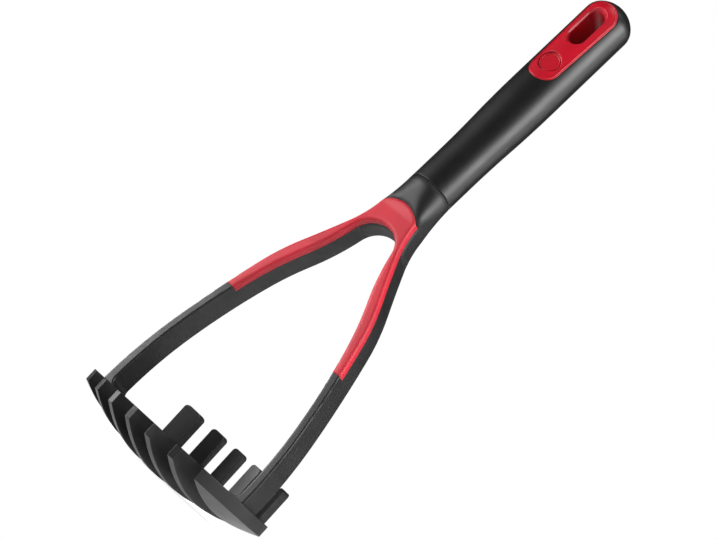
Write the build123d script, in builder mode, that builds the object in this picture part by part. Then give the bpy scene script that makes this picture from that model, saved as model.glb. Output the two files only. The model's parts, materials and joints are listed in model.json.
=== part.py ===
from build123d import *
import os
from math import cos, radians, sin

# A potato masher, held upright with its mashing face down.
# Z runs up along the tool, X from the left arm to the right arm, and the front, which
# carries the soft red grip, looks towards -Y. All lengths are in millimetres.

# Head: a domed puck, sliced from front to back into upright blades
head_half_width = 49.8
front_reach = 49.4
rear_reach = 61.7
rim_height = 5.8
dome_depth = 10.3
dome_margin_share = 1.15
blade_count = 7
end_blade_width = 14.55
blade_thickness = 2.7
rail_depth = 4.8

# The cross rail ties the blades in line with the two arms
cross_rail_width = 5.0
cross_rail_height = 4.2
cross_rail_drop = 1.1

# Upright tongues along the rear rail, one behind each gap
tongue_width = 6.0
tongue_height = 17.0
tongue_round = 1.8

# Fork: two bowed arms that meet in a neck. It leans back from the head
fork_lean = 4.8
fork_forward = 0.8
arm_half_spread = 46.8
arm_foot_thickness = 4.4
arm_foot_trim = 2.0
arm_foot_sink = 1.0
arm_foot_flare = 4.0
arm_depth = 16.8
arm_edge_round = 0.9
fork_height = 160.0
neck_middle_width = 22.2
neck_middle_depth = 19.6
neck_middle_round = 7.5

# One arm's edges, as a run of arcs from the foot up. Each place is given in shares of the
# half spread and of the fork's height
outer_line_shares = [(0.917, 0.25), (0.703, 0.525), (0.539, 0.65), (0.323, 0.78), (0.226, 0.881)]
inner_line_shares = [(0.834, 0.25), (0.622, 0.5), (0.450, 0.625), (0.259, 0.777)]
crotch_share = 0.834
arm_top_share = 0.79

# The neck's top is a square with its corners rounded off by this share of half its side
seam_round_share = 0.99

# Soft grip moulded over the front of the fork
grip_start_height = 67.5
grip_wrap = 4.5
grip_arch_rise = 12.9
grip_arch_radius = 14.4

# Handle: a round sleeve that swells a little and leans further back than the fork
handle_length = 126.0
handle_lean = 7.7
seam_radius = 11.3
handle_radius = 12.5
handle_end_rise = 10.4
# Where the swell starts and ends, and where the end's shoulder lies between side and crown
swell_start_share = 0.12
swell_end_share = 0.57
shoulder_shares = (0.838, 0.534)
seam_groove_width = 0.8

# The neck runs on inside the handle as a tang
tang_width = 14.0
tang_thickness = 8.0
tang_round = 2.0
tang_length = 62.0
tang_clearance = 0.1

# Hanging insert: a long cap in the front of the handle, with an eyelet right through
insert_low_radius = 7.5
insert_high_radius = 8.6
insert_length = 52.0
insert_end_margin = 4.7
insert_floor = 4.6
insert_clearance = 0.15
slot_width = 8.8
slot_length = 20.8
slot_end_margin = 11.1
eyelet_wall = 1.7

# The slot's mouth flares, and a plain flat disc sits between the slot and the insert's foot
mouth_depth = 2.0
mouth_flare = 35.0
disc_radius = 5.5
disc_recess = 1.5
disc_foot_gap = 10.6

# One overrun serves all cuts
overrun = 30.0

os.makedirs("parts", exist_ok=True)

# Sizes worked out from the ones above
head_top = rim_height + dome_depth
side_count = blade_count // 2
end_inner = head_half_width - end_blade_width
blade_pitch = (end_inner + blade_thickness / 2) / side_count
gap_width = blade_pitch - blade_thickness
span = 2 * head_half_width + overrun
# The origin is under the middle of the whole head, so its widest line lies a little forward
head_line = (front_reach - rear_reach) / 2
arm_half_depth = arm_depth / 2
grip_back = arm_half_depth - grip_wrap
crotch_height = crotch_share * fork_height
waist_height = outer_line_shares[-1][-1] * fork_height
grip_arch_middle = crotch_height + grip_arch_rise - grip_arch_radius

# The fork stands on the head's top plane and leans towards the rear
fork_up = (0, sin(radians(fork_lean)), cos(radians(fork_lean)))
fork_front = (0, -cos(radians(fork_lean)), sin(radians(fork_lean)))
fork_foot = (0, head_line - fork_forward, head_top)
fork_plane = Plane(origin=fork_foot, x_dir=(1, 0, 0), z_dir=fork_front)


def head_level(height):
    """A flat plane at a height, centred on the head's widest line."""
    return Plane(origin=(0, head_line, height))


def fork_level(height):
    """The plane square to the fork at a height above the head, facing up along it."""
    return Plane(origin=fork_plane.from_local_coords((0, height, 0)), x_dir=(1, 0, 0), z_dir=fork_up)


def save(builder, name):
    builder.part.label = name
    export_step(builder.part, f"parts/{name}.step")


def rear_band(top, bottom, margin):
    """The curved strip along the rear rim, with a margin outside it, for the rail and the tongues."""
    with BuildPart() as band:
        with BuildSketch(head_level(bottom)):
            Ellipse(head_half_width + margin, rear_reach + margin)
            Ellipse(head_half_width - rail_depth, rear_reach - rail_depth, mode=Mode.SUBTRACT)
            with Locations((0, -span / 2)):
                Rectangle(span, span, mode=Mode.SUBTRACT)
        extrude(amount=top - bottom)
    return band.part


def dome_end(reach, side):
    """Where the dome's arc ends, a little past the rim to the front or the rear."""
    radius = (reach**2 + dome_depth**2) / (2 * dome_depth)
    past = reach * dome_margin_share
    return (head_line + side * past, radius - (radius**2 - past**2) ** (1 / 2))


# The dome: two arcs that meet at its lowest point, turned about a level axis high above it
with BuildPart() as dome:
    with BuildSketch(Plane.YZ):
        with BuildLine():
            axis_height = (head_half_width**2 + dome_depth**2) / (2 * dome_depth)
            front_end = dome_end(front_reach, -1)
            rear_end = dome_end(rear_reach, 1)
            TangentArc((head_line, 0), front_end, tangent=(-1, 0))
            TangentArc((head_line, 0), rear_end, tangent=(1, 0))
            Polyline(front_end, (front_end[0], axis_height), (rear_end[0], axis_height), rear_end)
        make_face()
    revolve(axis=Axis((0, 0, axis_height), (0, 1, 0)))

# The whole puck, before slicing: half an ellipse to each side of its widest line, domed below
with BuildPart() as puck:
    with BuildSketch(head_level(0)):
        with BuildLine():
            EllipticalCenterArc((0, 0), head_half_width, front_reach, start_angle=180, arc_size=180)
            EllipticalCenterArc((0, 0), head_half_width, rear_reach, start_angle=0, arc_size=180)
        make_face()
    extrude(amount=head_top)
    add(dome.part, mode=Mode.INTERSECT)

rear_zone = rear_band(head_top + overrun, -overrun, overrun)

# Blades: slices of the puck. The two end ones take the whole ends of it, the others stop
# at the rear rail, and each is square-cut at the front
for number in range(blade_count):
    place = (number - side_count) * blade_pitch
    at_left = number == 0
    at_right = number == blade_count - 1
    with BuildPart() as blade:
        add(puck.part)
        with BuildSketch(head_level(-overrun)):
            if at_left or at_right:
                side = -1 if at_left else 1
                with Locations((side * (end_inner + span / 2), 0)):
                    Rectangle(span, span)
            else:
                with Locations((place, 0)):
                    Rectangle(blade_thickness, span)
        extrude(amount=head_top + 2 * overrun, mode=Mode.INTERSECT)
        if not (at_left or at_right):
            add(rear_zone, mode=Mode.SUBTRACT)
    save(blade, f"blade_{number + 1}")

# Rear rail: the rim itself, run along behind the gaps from one end blade to the other
with BuildPart() as rear_rail:
    add(puck.part)
    add(rear_zone, mode=Mode.INTERSECT)
    with BuildSketch(head_level(-overrun)):
        Rectangle(2 * end_inner, span)
    extrude(amount=head_top + 2 * overrun, mode=Mode.INTERSECT)
save(rear_rail, "rear_rail")

# Cross rail: six short bars, one in each gap, in line with the arms
with BuildPart() as cross_rail:
    with BuildSketch(head_level(head_top - cross_rail_drop - cross_rail_height)):
        with GridLocations(blade_pitch, 0, blade_count - 1, 1):
            Rectangle(gap_width, cross_rail_width)
    extrude(amount=cross_rail_height)
save(cross_rail, "cross_rail")

# Tongues: they stand on the rear rail, curved with it, with their top corners rounded
tongue_zone = rear_band(head_top + tongue_height, head_top, 0)
for number in range(blade_count - 1):
    place = (number + 1 / 2) * blade_pitch - side_count * blade_pitch
    with BuildPart() as tongue:
        add(tongue_zone)
        with BuildSketch(Plane.XZ) as tongue_front:
            with Locations((place, head_top)):
                Rectangle(tongue_width, tongue_height, align=(Align.CENTER, Align.MIN))
            fillet(tongue_front.vertices().group_by(Axis.Y)[-1], radius=tongue_round)
        extrude(amount=span, both=True, mode=Mode.INTERSECT)
    save(tongue, f"tongue_{number + 1}")


def share_point(share, side):
    """A place on an arm, from shares of the half spread and of the fork's height."""
    return (side * share[0] * arm_half_spread, share[1] * fork_height)


def arc_run(start, shares, side):
    """Arcs that follow on smoothly from each other, up one edge of an arm; gives their end."""
    step = TangentArc(start, share_point(shares[0], side), tangent=(0, 1))
    for share in shares[1:]:
        step = TangentArc(step @ 1, share_point(share, side), tangent=step % 1)
    return step


# The fork's front outline: the outer edge of each arm up to the neck's waist, and between
# the arms an inner edge that rises to the crotch. Each foot flares inwards, and starts a
# little low, to be trimmed level with the head's top
with BuildSketch() as fork_outline:
    with BuildLine():
        for side in (-1, 1):
            inner_edge = arm_half_spread - arm_foot_thickness
            foot = (side * arm_half_spread, -arm_foot_trim)
            toe = (side * (inner_edge - arm_foot_flare), -arm_foot_sink)
            toe_low = (side * (inner_edge - arm_foot_flare), -arm_foot_trim)
            flare_top = (side * inner_edge, arm_foot_flare - arm_foot_sink)
            arc_run(foot, outer_line_shares, side)
            Polyline(foot, toe_low, toe)
            TangentArc(toe, flare_top, tangent=(side, 0))
            inner_end = arc_run(flare_top, inner_line_shares, side)
            TangentArc(inner_end @ 1, (0, crotch_height), tangent=inner_end % 1)
        Line(share_point(outer_line_shares[-1], -1), share_point(outer_line_shares[-1], 1))
    make_face()

with BuildPart() as fork_blank:
    with BuildSketch(fork_plane):
        add(fork_outline.sketch)
    extrude(amount=arm_half_depth, both=True)
    fillet(fork_blank.edges().filter_by(GeomType.CIRCLE), radius=arm_edge_round)

# The handle stands on the seam and leans further back than the fork
seam_point = fork_plane.from_local_coords((0, fork_height, 0))
handle_up = (0, sin(radians(handle_lean)), cos(radians(handle_lean)))
handle_front = (0, -cos(radians(handle_lean)), sin(radians(handle_lean)))
handle_plane = Plane(origin=seam_point, x_dir=(1, 0, 0), z_dir=handle_front)


def handle_level(height):
    """The plane square to the handle at a height above its seam, facing up along it."""
    return Plane(origin=handle_plane.from_local_coords((0, height, 0)), x_dir=(1, 0, 0), z_dir=handle_up)


# Neck: from the fork's flat waist to the round seam
with BuildPart() as fork_core:
    add(fork_blank.part)
    waist_face = fork_core.faces().sort_by(Axis.Z)[-1]
    add(waist_face)
    with BuildSketch(fork_level((waist_height + fork_height) / 2)):
        RectangleRounded(neck_middle_width, neck_middle_depth, neck_middle_round)
    with BuildSketch(handle_level(0)):
        RectangleRounded(2 * seam_radius, 2 * seam_radius, seam_round_share * seam_radius)
    loft()

# The whole handle before its pockets: it swells a little towards its domed end
dome_foot = handle_length - handle_end_rise
with BuildPart() as handle_blank:
    with BuildSketch(handle_plane):
        with BuildLine():
            swell_start = (seam_radius, swell_start_share * dome_foot)
            swell_middle = (
                (seam_radius + handle_radius) / 2,
                (swell_start_share + swell_end_share) / 2 * dome_foot,
            )
            swell_end = (handle_radius, swell_end_share * dome_foot)
            shoulder_out, shoulder_up = shoulder_shares
            shoulder = (shoulder_out * handle_radius, dome_foot + shoulder_up * handle_end_rise)
            Line((seam_radius, 0), swell_start)
            low_curve = TangentArc(swell_start, swell_middle, tangent=(0, 1))
            TangentArc(swell_middle, swell_end, tangent=low_curve % 1)
            Line(swell_end, (handle_radius, dome_foot))
            corner = TangentArc((handle_radius, dome_foot), shoulder, tangent=(0, 1))
            TangentArc(shoulder, (0, handle_length), tangent=corner % 1)
            Polyline((0, handle_length), (0, 0), (seam_radius, 0))
        make_face()
    revolve(axis=Axis(handle_plane.origin, handle_plane.y_dir))

# Grip: the soft front of the fork, from both arms up to an arch on the neck
with BuildPart() as fork_grip:
    with BuildSketch(fork_plane.offset(grip_back)):
        with Locations((0, grip_start_height)):
            Rectangle(span, grip_arch_middle - grip_start_height, align=(Align.CENTER, Align.MIN))
        with Locations((0, grip_arch_middle)):
            Circle(grip_arch_radius)
    extrude(amount=overrun)
    add(fork_core.part, mode=Mode.INTERSECT)
save(fork_grip, "fork_grip")

# Arms: everything below the neck's foot, each with a flare where it stands on its end blade
for side, name in ((-1, "arm_left"), (1, "arm_right")):
    with BuildPart() as arm:
        add(fork_core.part)
        with BuildSketch(fork_level(arm_top_share * fork_height)):
            with Locations((side * span / 2, 0)):
                Rectangle(span, span)
        extrude(amount=-fork_height - overrun, mode=Mode.INTERSECT)
        with BuildSketch(head_level(head_top)):
            Rectangle(2 * span, span)
        extrude(amount=-overrun, mode=Mode.SUBTRACT)
        add(fork_grip.part, mode=Mode.SUBTRACT)
    save(arm, name)

# Neck: the crotch between the arms, the round of the seam, and the tang inside the handle
with BuildPart() as neck:
    add(fork_core.part)
    with BuildSketch(fork_level(arm_top_share * fork_height)):
        Rectangle(span, span)
    extrude(amount=-fork_height - overrun, mode=Mode.SUBTRACT)
    add(fork_grip.part, mode=Mode.SUBTRACT)
    seam_face = neck.faces().sort_by(Axis.Z)[-1]
    chamfer(seam_face.edges(), length=seam_groove_width / 2)
    with BuildSketch(handle_level(0)):
        RectangleRounded(tang_width, tang_thickness, tang_round)
    extrude(amount=tang_length)
save(neck, "neck")

# The insert's plane faces the front, half way along the insert
insert_middle = handle_length - insert_end_margin - insert_length / 2
insert_plane = Plane(origin=handle_level(insert_middle).origin, x_dir=(1, 0, 0), z_dir=handle_front)
slot_middle = handle_length - insert_middle - slot_end_margin - slot_length / 2


def insert_outline(margin):
    """The long rounded outline of the insert, wider round the slot than at its foot."""
    with BuildSketch() as outline:
        with Locations((0, insert_low_radius - insert_length / 2)):
            Circle(insert_low_radius + margin)
        with Locations((0, insert_length / 2 - insert_high_radius)):
            Circle(insert_high_radius + margin)
        make_hull()
    return outline.sketch


def slot_outline(margin):
    """The hanging slot's outline, grown by a margin."""
    with BuildSketch() as outline:
        with Locations((0, slot_middle)):
            SlotOverall(slot_length + 2 * margin, slot_width + 2 * margin, rotation=90)
    return outline.sketch


# The room for the insert: a long pocket in front, and a way right through for its eyelet
with BuildPart() as insert_room:
    with BuildSketch(insert_plane.offset(insert_floor - insert_clearance)):
        add(insert_outline(insert_clearance))
    extrude(amount=overrun)
    with BuildSketch(insert_plane):
        add(slot_outline(eyelet_wall + insert_clearance))
    extrude(amount=overrun, both=True)

# Sleeve: the round handle, hollow for the tang and open for the insert
with BuildPart() as handle_sleeve:
    add(handle_blank.part)
    seam_edge = handle_sleeve.edges().sort_by(Axis.Z)[0]
    chamfer(seam_edge, length=seam_groove_width / 2)
    with BuildSketch(handle_level(0)):
        RectangleRounded(
            tang_width + 2 * tang_clearance,
            tang_thickness + 2 * tang_clearance,
            tang_round + tang_clearance,
        )
    extrude(amount=tang_length + tang_clearance, mode=Mode.SUBTRACT)
    add(insert_room.part, mode=Mode.SUBTRACT)
save(handle_sleeve, "handle_sleeve")

# Insert: the cap in front, and the eyelet behind it that lines the hanging slot
with BuildPart() as hang_insert:
    with BuildSketch(insert_plane.offset(insert_floor)):
        add(insert_outline(0))
    extrude(amount=overrun)
    with BuildSketch(insert_plane):
        add(slot_outline(eyelet_wall))
    extrude(amount=overrun, both=True)
    add(handle_blank.part, mode=Mode.INTERSECT)
    with BuildSketch(insert_plane):
        add(slot_outline(0))
    extrude(amount=overrun, both=True, mode=Mode.SUBTRACT)
    with BuildSketch(insert_plane.offset(handle_radius - mouth_depth)):
        add(slot_outline(0))
    extrude(amount=2 * mouth_depth, taper=-mouth_flare, mode=Mode.SUBTRACT)
    with BuildSketch(insert_plane.offset(handle_radius - disc_recess)):
        with Locations((0, disc_foot_gap - insert_length / 2)):
            Circle(disc_radius)
    extrude(amount=overrun, mode=Mode.SUBTRACT)
save(hang_insert, "hang_insert")
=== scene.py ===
# %% [markdown]
# # A potato masher, dressed for its portrait
# The masher's solids come from the CAD model, at their real size and in their real places. This
# script gives each of them its finish, adds two mouldings that are too fine for the solids, sets
# the floor, the light and the camera, and changes no solid.

# %% Load the frame
import bpy
import json
import math
from mathutils import Matrix, Vector


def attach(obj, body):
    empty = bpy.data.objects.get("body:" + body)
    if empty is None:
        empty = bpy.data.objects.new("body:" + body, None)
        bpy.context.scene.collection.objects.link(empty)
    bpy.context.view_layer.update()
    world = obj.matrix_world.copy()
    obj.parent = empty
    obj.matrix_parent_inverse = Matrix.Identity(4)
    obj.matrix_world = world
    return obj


MM = 0.001

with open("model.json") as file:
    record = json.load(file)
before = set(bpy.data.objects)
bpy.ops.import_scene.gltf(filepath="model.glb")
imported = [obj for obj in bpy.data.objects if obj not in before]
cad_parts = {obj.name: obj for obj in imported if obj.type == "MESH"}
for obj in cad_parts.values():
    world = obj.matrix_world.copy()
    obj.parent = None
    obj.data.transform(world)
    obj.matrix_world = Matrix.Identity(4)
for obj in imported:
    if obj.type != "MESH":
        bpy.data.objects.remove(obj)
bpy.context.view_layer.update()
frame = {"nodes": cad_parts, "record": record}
nodes = frame["nodes"]
print("nodes loaded:", len(nodes))

# %% [markdown]
# ## Small helpers for materials
# Every finish here is made of nodes alone. Pictures could carry the grain too, but the solids would
# have to be unwrapped for them, and a close view would show the picture's own dots. Nodes work in
# the object's own metres, so the grain stays the same size on every piece and from every side.


# %% An empty material
def new_material(name):
    """An empty node material with one Principled shader wired to its output."""
    material = bpy.data.materials.new(name)
    material.use_nodes = True
    tree = material.node_tree
    tree.nodes.clear()
    output = tree.nodes.new("ShaderNodeOutputMaterial")
    shader = tree.nodes.new("ShaderNodeBsdfPrincipled")
    tree.links.new(shader.outputs["BSDF"], output.inputs["Surface"])
    return material, tree, shader


print("helper ready: new_material")


# %% Noise, ranges and blends
def noise(tree, scale, detail):
    """Noise in the object's own metres: scale is in lumps per metre."""
    coords = tree.nodes.new("ShaderNodeTexCoord")
    texture = tree.nodes.new("ShaderNodeTexNoise")
    texture.inputs["Scale"].default_value = scale
    texture.inputs["Detail"].default_value = detail
    tree.links.new(coords.outputs["Object"], texture.inputs["Vector"])
    return texture.outputs["Fac"]


def remap(tree, value, old_range, new_range):
    """Stretches one range of a value to another, and holds it inside the new one."""
    node = tree.nodes.new("ShaderNodeMapRange")
    node.inputs["From Min"].default_value, node.inputs["From Max"].default_value = old_range
    node.inputs["To Min"].default_value, node.inputs["To Max"].default_value = new_range
    tree.links.new(value, node.inputs["Value"])
    return node.outputs["Result"]


def combined(tree, operation, first, second):
    """One value from two, such as their product or the larger of them."""
    node = tree.nodes.new("ShaderNodeMath")
    node.operation = operation
    tree.links.new(first, node.inputs[0])
    tree.links.new(second, node.inputs[1])
    return node.outputs["Value"]


def mix_colours(tree, factor, first, second):
    """Blends two colours by a factor."""
    node = tree.nodes.new("ShaderNodeMix")
    node.data_type = "RGBA"
    tree.links.new(factor, node.inputs["Factor"])
    for socket, colour in ((node.inputs[6], first), (node.inputs[7], second)):
        if isinstance(colour, tuple):
            socket.default_value = (*colour, 1)
        else:
            tree.links.new(colour, socket)
    return node.outputs[2]


print("helpers ready: noise, remap, combined, mix_colours")

# %% [markdown]
# ## Soft edges and relief
# No moulded edge is perfectly sharp: it catches a thin line of light. The solids could be given a
# tiny rounding everywhere, at the price of many faces. The Bevel node rounds only the shading, and
# the place where its normal leaves the true one is also where a tool gets rubbed. There the colour
# is painted paler: partly wear, and partly a painted highlight along the edge.


# %% Edges and grain
FLAT_COSINE, EDGE_COSINE = 0.98, 0.8
BEVEL_SAMPLES = 6


def edge_mask(tree, radius):
    """A rounded normal, and a mask of it: 1 along edges and 0 on flats."""
    bevel = tree.nodes.new("ShaderNodeBevel")
    bevel.samples = BEVEL_SAMPLES
    bevel.inputs["Radius"].default_value = radius
    geometry = tree.nodes.new("ShaderNodeNewGeometry")
    dot = tree.nodes.new("ShaderNodeVectorMath")
    dot.operation = "DOT_PRODUCT"
    tree.links.new(bevel.outputs["Normal"], dot.inputs[0])
    tree.links.new(geometry.outputs["Normal"], dot.inputs[1])
    return bevel.outputs["Normal"], remap(tree, dot.outputs["Value"], (FLAT_COSINE, EDGE_COSINE), (0, 1))


def bumped(tree, shader, height, strength, distance, base_normal):
    """Raises fine relief on top of the rounded edges."""
    bump = tree.nodes.new("ShaderNodeBump")
    bump.inputs["Strength"].default_value = strength
    bump.inputs["Distance"].default_value = distance
    tree.links.new(height, bump.inputs["Height"])
    tree.links.new(base_normal, bump.inputs["Normal"])
    tree.links.new(bump.outputs["Normal"], shader.inputs["Normal"])


print("edges are shaded with", BEVEL_SAMPLES, "samples")

# %% [markdown]
# ## One recipe for moulded plastic
# Every piece of the masher comes out of a mould, so one recipe serves them all: a fine grain left by
# the mould's wall, a colour and a gloss that drift a little in soft clouds, and edges painted slightly
# paler, partly as wear where hands and pans have rubbed them and partly as a painted highlight.
# Only the numbers change from piece to piece.


# %% Moulded plastic
GRAIN_DETAIL, GRAIN_STRENGTH = 4, 0.35
CLOUD_SCALE, CLOUD_DETAIL = 60, 3
DARKER_SHARE = 0.82
CLEAR_TO_DARK, CLEAR_TO_ROUGH = (0.35, 0.7), (0.3, 0.7)
SPECKS, SPECK_WEAR_AND_HIGHLIGHT = (0.4, 0.65), (0.15, 0.7)


def moulded(name, colour, worn_and_highlit, rough, rough_swing, grain, relief, edge_radius):
    """A moulded plastic: grain, uneven gloss, soft edges, and a paler colour on them that is partly wear
    and partly a painted highlight.
    """
    material, tree, shader = new_material(name)
    rounded, edges = edge_mask(tree, edge_radius)
    fine = noise(tree, grain, GRAIN_DETAIL)
    cloudy = noise(tree, CLOUD_SCALE, CLOUD_DETAIL)
    darker = tuple(channel * DARKER_SHARE for channel in colour)
    mottled = mix_colours(tree, remap(tree, cloudy, CLEAR_TO_DARK, (0, 1)), colour, darker)
    # The edges are painted paler in specks: partly wear, partly a painted highlight along each edge.
    wear_and_highlight = combined(tree, "MULTIPLY", edges, remap(tree, fine, SPECKS, SPECK_WEAR_AND_HIGHLIGHT))
    tree.links.new(mix_colours(tree, wear_and_highlight, mottled, worn_and_highlit), shader.inputs["Base Color"])
    roughness = remap(tree, cloudy, CLEAR_TO_ROUGH, (rough - rough_swing, rough + rough_swing))
    tree.links.new(roughness, shader.inputs["Roughness"])
    bumped(tree, shader, fine, GRAIN_STRENGTH, relief, rounded)
    return material


print("cloud patches:", round(1 / CLOUD_SCALE / MM), "mm across")

# %% [markdown]
# ## The black finishes
# The head, arms and neck are matt black nylon. The neck swells from a flat fork to a round seam, and
# its shading is rounded more widely, so that it reads as one soft form. The sleeve on the handle is
# a deeper black with a satin gloss, and carries one long highlight.

# %% Nylon for the head and arms, and for the neck
NYLON_BLACK = (0.007, 0.007, 0.0078)
NYLON_SURFACE = {"rough": 0.46, "rough_swing": 0.05, "grain": 2600, "relief": 0.03 * MM}
# The paler edge colour given below is partly wear and partly a painted highlight.
nylon = moulded(
    "matt_black_nylon",
    colour=NYLON_BLACK,
    worn_and_highlit=(0.035, 0.035, 0.037),
    edge_radius=0.4 * MM,
    **NYLON_SURFACE,
)
neck_nylon = moulded(
    "matt_black_neck",
    colour=NYLON_BLACK,
    worn_and_highlit=(0.008, 0.008, 0.009),
    edge_radius=4.5 * MM,
    **NYLON_SURFACE,
)
print("nylon finishes:", nylon.name, neck_nylon.name)

# %% Satin black for the sleeve
# The paler edge colour given below is partly wear and partly a painted highlight.
sleeve = moulded(
    "satin_black_sleeve",
    colour=(0.004, 0.004, 0.0045),
    worn_and_highlit=(0.025, 0.025, 0.027),
    rough=0.43,
    rough_swing=0.03,
    grain=3200,
    relief=0.012 * MM,
    edge_radius=0.4 * MM,
)
print("sleeve finish:", sleeve.name)

# %% [markdown]
# ## The red finishes
# The grip is a soft, rubber-like crimson moulded over the fork. It bulges like a bead, so its
# shading is rounded over about 2 mm. The insert is a harder and smoother plastic of nearly the same
# red, with crisp edges.

# %% Red finishes
# The paler edge colours given below are partly wear and partly a painted highlight.
soft_red = moulded(
    "soft_red_grip",
    colour=(0.60, 0.010, 0.028),
    worn_and_highlit=(0.62, 0.016, 0.034),
    rough=0.50,
    rough_swing=0.05,
    grain=2400,
    relief=0.02 * MM,
    edge_radius=2.2 * MM,
)
hard_red = moulded(
    "hard_red_insert",
    colour=(0.52, 0.006, 0.020),
    worn_and_highlit=(0.6, 0.02, 0.04),
    rough=0.36,
    rough_swing=0.04,
    grain=1800,
    relief=0.01 * MM,
    edge_radius=0.5 * MM,
)
print("red finishes:", soft_red.name, hard_red.name)

# %% Dress the nodes
finishes = {"nylon": nylon, "sleeve": sleeve, "grip": soft_red, "insert": hard_red}
slots = {part["node"]: part["material_slot"] for part in frame["record"]["subparts"]}
for name, node in nodes.items():
    node.data.materials.clear()
    node.data.materials.append(neck_nylon if name == "neck" else finishes[slots[name]])
print("finishes given to", len(nodes), "nodes")

# %% [markdown]
# ## Where the insert lies
# The red insert lies in the front of the handle, which leans back a little more than the fork. The
# same few sizes that place it in the CAD model place its fine mouldings here: first the seam where
# the handle starts, then the directions up along the handle and out of its front.

# %% The handle's own directions
FORK_FOOT = Vector((0, -6.95, 16.1)) * MM
FORK_LENGTH, FORK_LEAN = 160 * MM, math.radians(4.8)
HANDLE_LENGTH, HANDLE_RADIUS, HANDLE_LEAN = 126 * MM, 12.5 * MM, math.radians(7.7)
seam = FORK_FOOT + Vector((0, math.sin(FORK_LEAN), math.cos(FORK_LEAN))) * FORK_LENGTH
handle_up = Vector((0, math.sin(HANDLE_LEAN), math.cos(HANDLE_LEAN)))
handle_front = Vector((0, -math.cos(HANDLE_LEAN), math.sin(HANDLE_LEAN)))
print("the handle starts at", tuple(round(v, 4) for v in seam))


def on_handle(across, along, forward):
    """A point by its distance across the handle, along it and forward of its middle."""
    return seam + Vector((across, 0, 0)) + handle_up * along + handle_front * forward


# %% The insert's sizes
INSERT_LENGTH, INSERT_END_MARGIN = 52 * MM, 4.7 * MM
INSERT_LOW_RADIUS, INSERT_HIGH_RADIUS = 7.5 * MM, 8.6 * MM
DISC_FOOT_GAP, DISC_RECESS = 10.6 * MM, 1.5 * MM
insert_top = HANDLE_LENGTH - INSERT_END_MARGIN
insert_foot = insert_top - INSERT_LENGTH
print("the insert runs from", round(insert_foot, 4), "to", round(insert_top, 4), "m up the handle")

# %% [markdown]
# ## The insert's fine mouldings
# A thin rounded lip runs round the edge of the red insert, and a plain ring sits on its flat disc.
# Both come out of the mould with the cap and are well under a millimetre thick. A swept curve would
# do for them, but a mesh laid out ring by ring is closed from the start and keeps its few faces, so
# they are drawn as slim closed tubes, half sunk in the surface that they follow.


# %% A slim closed tube
TUBE_SIDES = 10


def closed_tube(name, path, radius):
    """A slim red tube along a closed path that faces the front."""
    points, faces = [], []
    for number, middle in enumerate(path):
        ahead = path[(number + 1) % len(path)] - path[number - 1]
        outward = ahead.cross(handle_front).normalized()
        raised = outward.cross(ahead).normalized()
        for side in range(TUBE_SIDES):
            angle = math.tau * side / TUBE_SIDES
            points.append(middle + (outward * math.cos(angle) + raised * math.sin(angle)) * radius)
    for number in range(len(path)):
        here = number * TUBE_SIDES
        after = (number + 1) % len(path) * TUBE_SIDES
        for side in range(TUBE_SIDES):
            beside = (side + 1) % TUBE_SIDES
            faces.append((here + side, here + beside, after + beside, after + side))
    mesh = bpy.data.meshes.new(name)
    mesh.from_pydata(points, [], faces)
    mesh.shade_smooth()
    mesh.materials.append(hard_red)
    tube = bpy.data.objects.new(name, mesh)
    bpy.context.scene.collection.objects.link(tube)
    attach(tube, "root")
    print(name, "has", len(path), "places and is", round(2 * radius / MM, 2), "mm thick")


# %% [markdown]
# ## The lip
# The insert's outline is two round ends of different size joined by straight flanks. The handle
# that it lies in is round, so the outline can't simply be drawn on a flat sheet. Each place is
# dropped from in front onto the insert's own surface, and the tube runs through where it lands.

# %% The lip's outline
STEPS = 48
LIP_RADIUS, LIP_INSET = 0.32 * MM, 0.75 * MM
low_radius, high_radius = INSERT_LOW_RADIUS - LIP_INSET, INSERT_HIGH_RADIUS - LIP_INSET
low_middle, high_middle = insert_foot + INSERT_LOW_RADIUS, insert_top - INSERT_HIGH_RADIUS
flank = math.asin((high_radius - low_radius) / (high_middle - low_middle))
outline = []
for radius, middle, start, sweep in (
    (high_radius, high_middle, -flank, math.pi + 2 * flank),
    (low_radius, low_middle, math.pi + flank, math.pi - 2 * flank),
):
    for step in range(STEPS + 1):
        angle = start + sweep * step / STEPS
        outline.append((radius * math.cos(angle), middle + radius * math.sin(angle)))
print("the lip's outline has", len(outline), "places")

# %% Drop it onto the insert
DROP_HEIGHT = 3 * HANDLE_RADIUS
insert_node = nodes["hang_insert"]
into_node = insert_node.matrix_world.inverted()
path = []
for across, along in outline:
    start = into_node @ on_handle(across, along, DROP_HEIGHT)
    heading = into_node.to_3x3() @ -handle_front
    place = insert_node.ray_cast(start, heading)[1]
    path.append(insert_node.matrix_world @ place)
closed_tube("insert_lip", path, LIP_RADIUS)

# %% Ring on the disc
RING_RADIUS, RING_SIZE = 0.28 * MM, 4.6 * MM
disc_middle, disc_forward = insert_foot + DISC_FOOT_GAP, HANDLE_RADIUS - DISC_RECESS
path = []
for step in range(STEPS):
    angle = math.tau * step / STEPS
    across, along = RING_SIZE * math.cos(angle), disc_middle + RING_SIZE * math.sin(angle)
    path.append(on_handle(across, along, disc_forward))
closed_tube("disc_ring", path, RING_RADIUS)

# %% [markdown]
# ## Floor
# The masher stands on a white sheet that never ends. Near the head the sheet is lit like any other,
# so it keeps the shadow there, and further out it turns into plain white. More light could bleach
# the sheet as well, but it would bleach the reds with it, so the white is the sheet's own.

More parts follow.
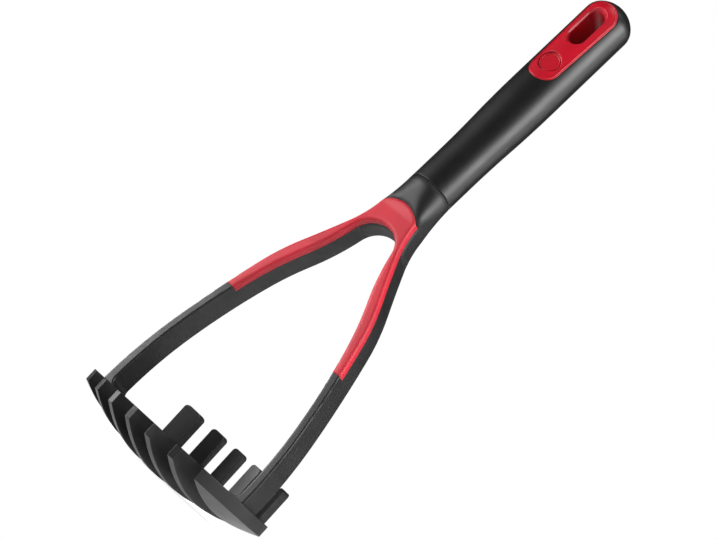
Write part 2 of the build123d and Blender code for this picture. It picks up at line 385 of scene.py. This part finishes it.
# %% The sheet
FLOOR_SIZE = 60
PAPER_WHITE, PAPER_ROUGHNESS = 0.9, 0.9
bpy.ops.mesh.primitive_plane_add(size=FLOOR_SIZE, location=(0, 0, 0))
floor = bpy.context.object
floor.name = "floor"
floor_material, tree, paper = new_material("white_floor")
paper.inputs["Base Color"].default_value = (PAPER_WHITE, PAPER_WHITE, PAPER_WHITE, 1)
paper.inputs["Roughness"].default_value = PAPER_ROUGHNESS
paper.inputs["Specular IOR Level"].default_value = 0.0
print("floor:", FLOOR_SIZE, "m across")


# %% Plain glows and blends of shaders
def glow(tree, strength):
    """A plain white glow."""
    node = tree.nodes.new("ShaderNodeEmission")
    node.inputs["Color"].default_value = (1, 1, 1, 1)
    node.inputs["Strength"].default_value = strength
    return node.outputs["Emission"]


def blend(tree, factor, first, second):
    """Mixes two shaders by a factor."""
    node = tree.nodes.new("ShaderNodeMixShader")
    tree.links.new(factor, node.inputs["Fac"])
    tree.links.new(first, node.inputs[1])
    tree.links.new(second, node.inputs[2])
    return node.outputs["Shader"]


print("helpers ready: glow, blend")

# %% [markdown]
# ## What the floor shows, and to whom
# The camera sees the sheet shaded near the head and plain white beyond. Shiny pieces see that white
# only right under the head, where it lights the dome's underside: if they saw all of it, the black
# flanks of the blades would turn grey. All other light meets an ordinary white sheet.

# %% Shadow near the head, plain white beyond
SHADED_WHITE, PLAIN_WHITE = 0.80, 1.0
SHADOW_NEAR, SHADOW_FAR = 0.10, 0.26
coords = tree.nodes.new("ShaderNodeTexCoord")
reach = tree.nodes.new("ShaderNodeVectorMath")
reach.operation = "LENGTH"
tree.links.new(coords.outputs["Object"], reach.inputs[0])
distance = reach.outputs["Value"]
lifted = tree.nodes.new("ShaderNodeAddShader")
tree.links.new(paper.outputs["BSDF"], lifted.inputs[0])
tree.links.new(glow(tree, SHADED_WHITE), lifted.inputs[1])
faded = remap(tree, distance, (SHADOW_NEAR, SHADOW_FAR), (0, 1))
shown = blend(tree, faded, lifted.outputs["Shader"], glow(tree, PLAIN_WHITE))
print("floor shadow fades out from", SHADOW_NEAR, "to", SHADOW_FAR, "m")

# %% Who sees that white
MIRROR_NEAR, MIRROR_FAR = 0.055, 0.09
rays = tree.nodes.new("ShaderNodeLightPath")
under_head = remap(tree, distance, (MIRROR_NEAR, MIRROR_FAR), (1, 0))
mirrored = combined(tree, "MULTIPLY", rays.outputs["Is Glossy Ray"], under_head)
white = combined(tree, "MAXIMUM", rays.outputs["Is Camera Ray"], mirrored)
output = next(node for node in tree.nodes if node.type == "OUTPUT_MATERIAL")
tree.links.new(blend(tree, white, paper.outputs["BSDF"], shown), output.inputs["Surface"])
floor.data.materials.append(floor_material)
print("shiny pieces mirror it out to", MIRROR_FAR, "m")

# %% [markdown]
# ## World
# The camera sees the world as white, like the sheet. The masher itself is lit by it only a little,
# because its blacks are deep: a bright world would lay a grey veil over all of them.

# %% A dim world behind a white one
AMBIENT = 0.02
world = bpy.data.worlds.new("studio")
bpy.context.scene.world = world
world.use_nodes = True
tree = world.node_tree
tree.nodes.clear()
output = tree.nodes.new("ShaderNodeOutputWorld")
rays = tree.nodes.new("ShaderNodeLightPath")
skies = []
for strength in (AMBIENT, PLAIN_WHITE):
    sky = tree.nodes.new("ShaderNodeBackground")
    sky.inputs["Color"].default_value = (1, 1, 1, 1)
    sky.inputs["Strength"].default_value = strength
    skies.append(sky.outputs["Background"])
tree.links.new(blend(tree, rays.outputs["Is Camera Ray"], *skies), output.inputs["Surface"])
print("ambient light:", AMBIENT)

# %% [markdown]
# ## Light
# A low, wide wall of light on the left lights the front faces of the arms and the blades' ends. A
# broad strip stands higher up on the right and draws the long highlight down the handle, but leaves
# the blades and tongues dark. A faint strip further round picks out the right-hand edges, and a
# weak box overhead keeps the tops from going flat. Area lamps are used because a satin surface
# mirrors the lamp's shape, and a point of light would leave a hard spot.


# %% A soft box
MIDDLE, LOW_DOWN = (0, 0, 0.12), (0, 0, 0.06)


def soft_box(name, azimuth, elevation, width, height, power, distance=0.9, target=MIDDLE):
    """An area lamp aimed at the target. Azimuth 0 is in front and 90 to the right."""
    turn, lift = math.radians(azimuth), math.radians(elevation)
    back = Vector((math.sin(turn) * math.cos(lift), -math.cos(turn) * math.cos(lift), math.sin(lift)))
    data = bpy.data.lights.new(name, "AREA")
    data.shape = "RECTANGLE"
    data.size = width
    data.size_y = height
    data.energy = power
    lamp = bpy.data.objects.new(name, data)
    bpy.context.scene.collection.objects.link(lamp)
    aim = back.to_track_quat("Z", "Y").to_matrix().to_4x4()
    lamp.matrix_world = Matrix.Translation(Vector(target) + back * distance) @ aim
    lamp.visible_camera = False


# %% The four lamps
soft_box("low_left_wall", azimuth=-51, elevation=1, width=0.75, height=0.28, power=12.0, target=LOW_DOWN)
soft_box("right_strip", azimuth=92, elevation=29, width=0.42, height=0.5, power=9.5)
soft_box("right_rim", azimuth=128, elevation=8, width=0.14, height=0.9, power=2.2)
soft_box("top_box", azimuth=20, elevation=75, width=0.6, height=0.6, power=2.0, distance=1.0)

# %% [markdown]
# ## Camera
# The photograph was taken from the front and a little to the right, with the camera about level with
# the head and tipped slightly upwards. Then it was rolled, so that the handle leans to the upper
# right. The camera's own axes are built from these three angles, which keeps each of them readable.

# %% Camera axes
AZIMUTH, PITCH, ROLL = 28.98, -6.53, 42.52
turn, tip, lean = (math.radians(angle) for angle in (AZIMUTH, PITCH, ROLL))
right = Vector((math.cos(turn), math.sin(turn), 0))
away = Vector((math.sin(turn), -math.cos(turn), 0))
back = away * math.cos(tip) + Vector((0, 0, math.sin(tip)))
up = back.cross(right)
camera_x = right * math.cos(lean) + up * math.sin(lean)
camera_y = up * math.cos(lean) - right * math.sin(lean)
print("the camera looks along", tuple(round(-v, 3) for v in back))

# %% Camera
DISTANCE, SIDE, HEIGHT = 0.9574, 0.0026, 0.0170
FOCAL_PX, FRAME_WIDTH_PX = 2170, 716
SENSOR_WIDTH = 36
place = away * DISTANCE + right * SIDE + Vector((0, 0, HEIGHT))
data = bpy.data.cameras.new("camera")
data.sensor_width = SENSOR_WIDTH
data.lens = FOCAL_PX / FRAME_WIDTH_PX * SENSOR_WIDTH
camera = bpy.data.objects.new("camera", data)
bpy.context.scene.collection.objects.link(camera)
camera.matrix_world = Matrix((
    (camera_x.x, camera_y.x, back.x, place.x),
    (camera_x.y, camera_y.y, back.y, place.y),
    (camera_x.z, camera_y.z, back.z, place.z),
    (0, 0, 0, 1),
))
bpy.context.scene.camera = camera
bpy.context.scene.view_settings.view_transform = "Standard"
print("lens:", round(data.lens, 1), "mm")
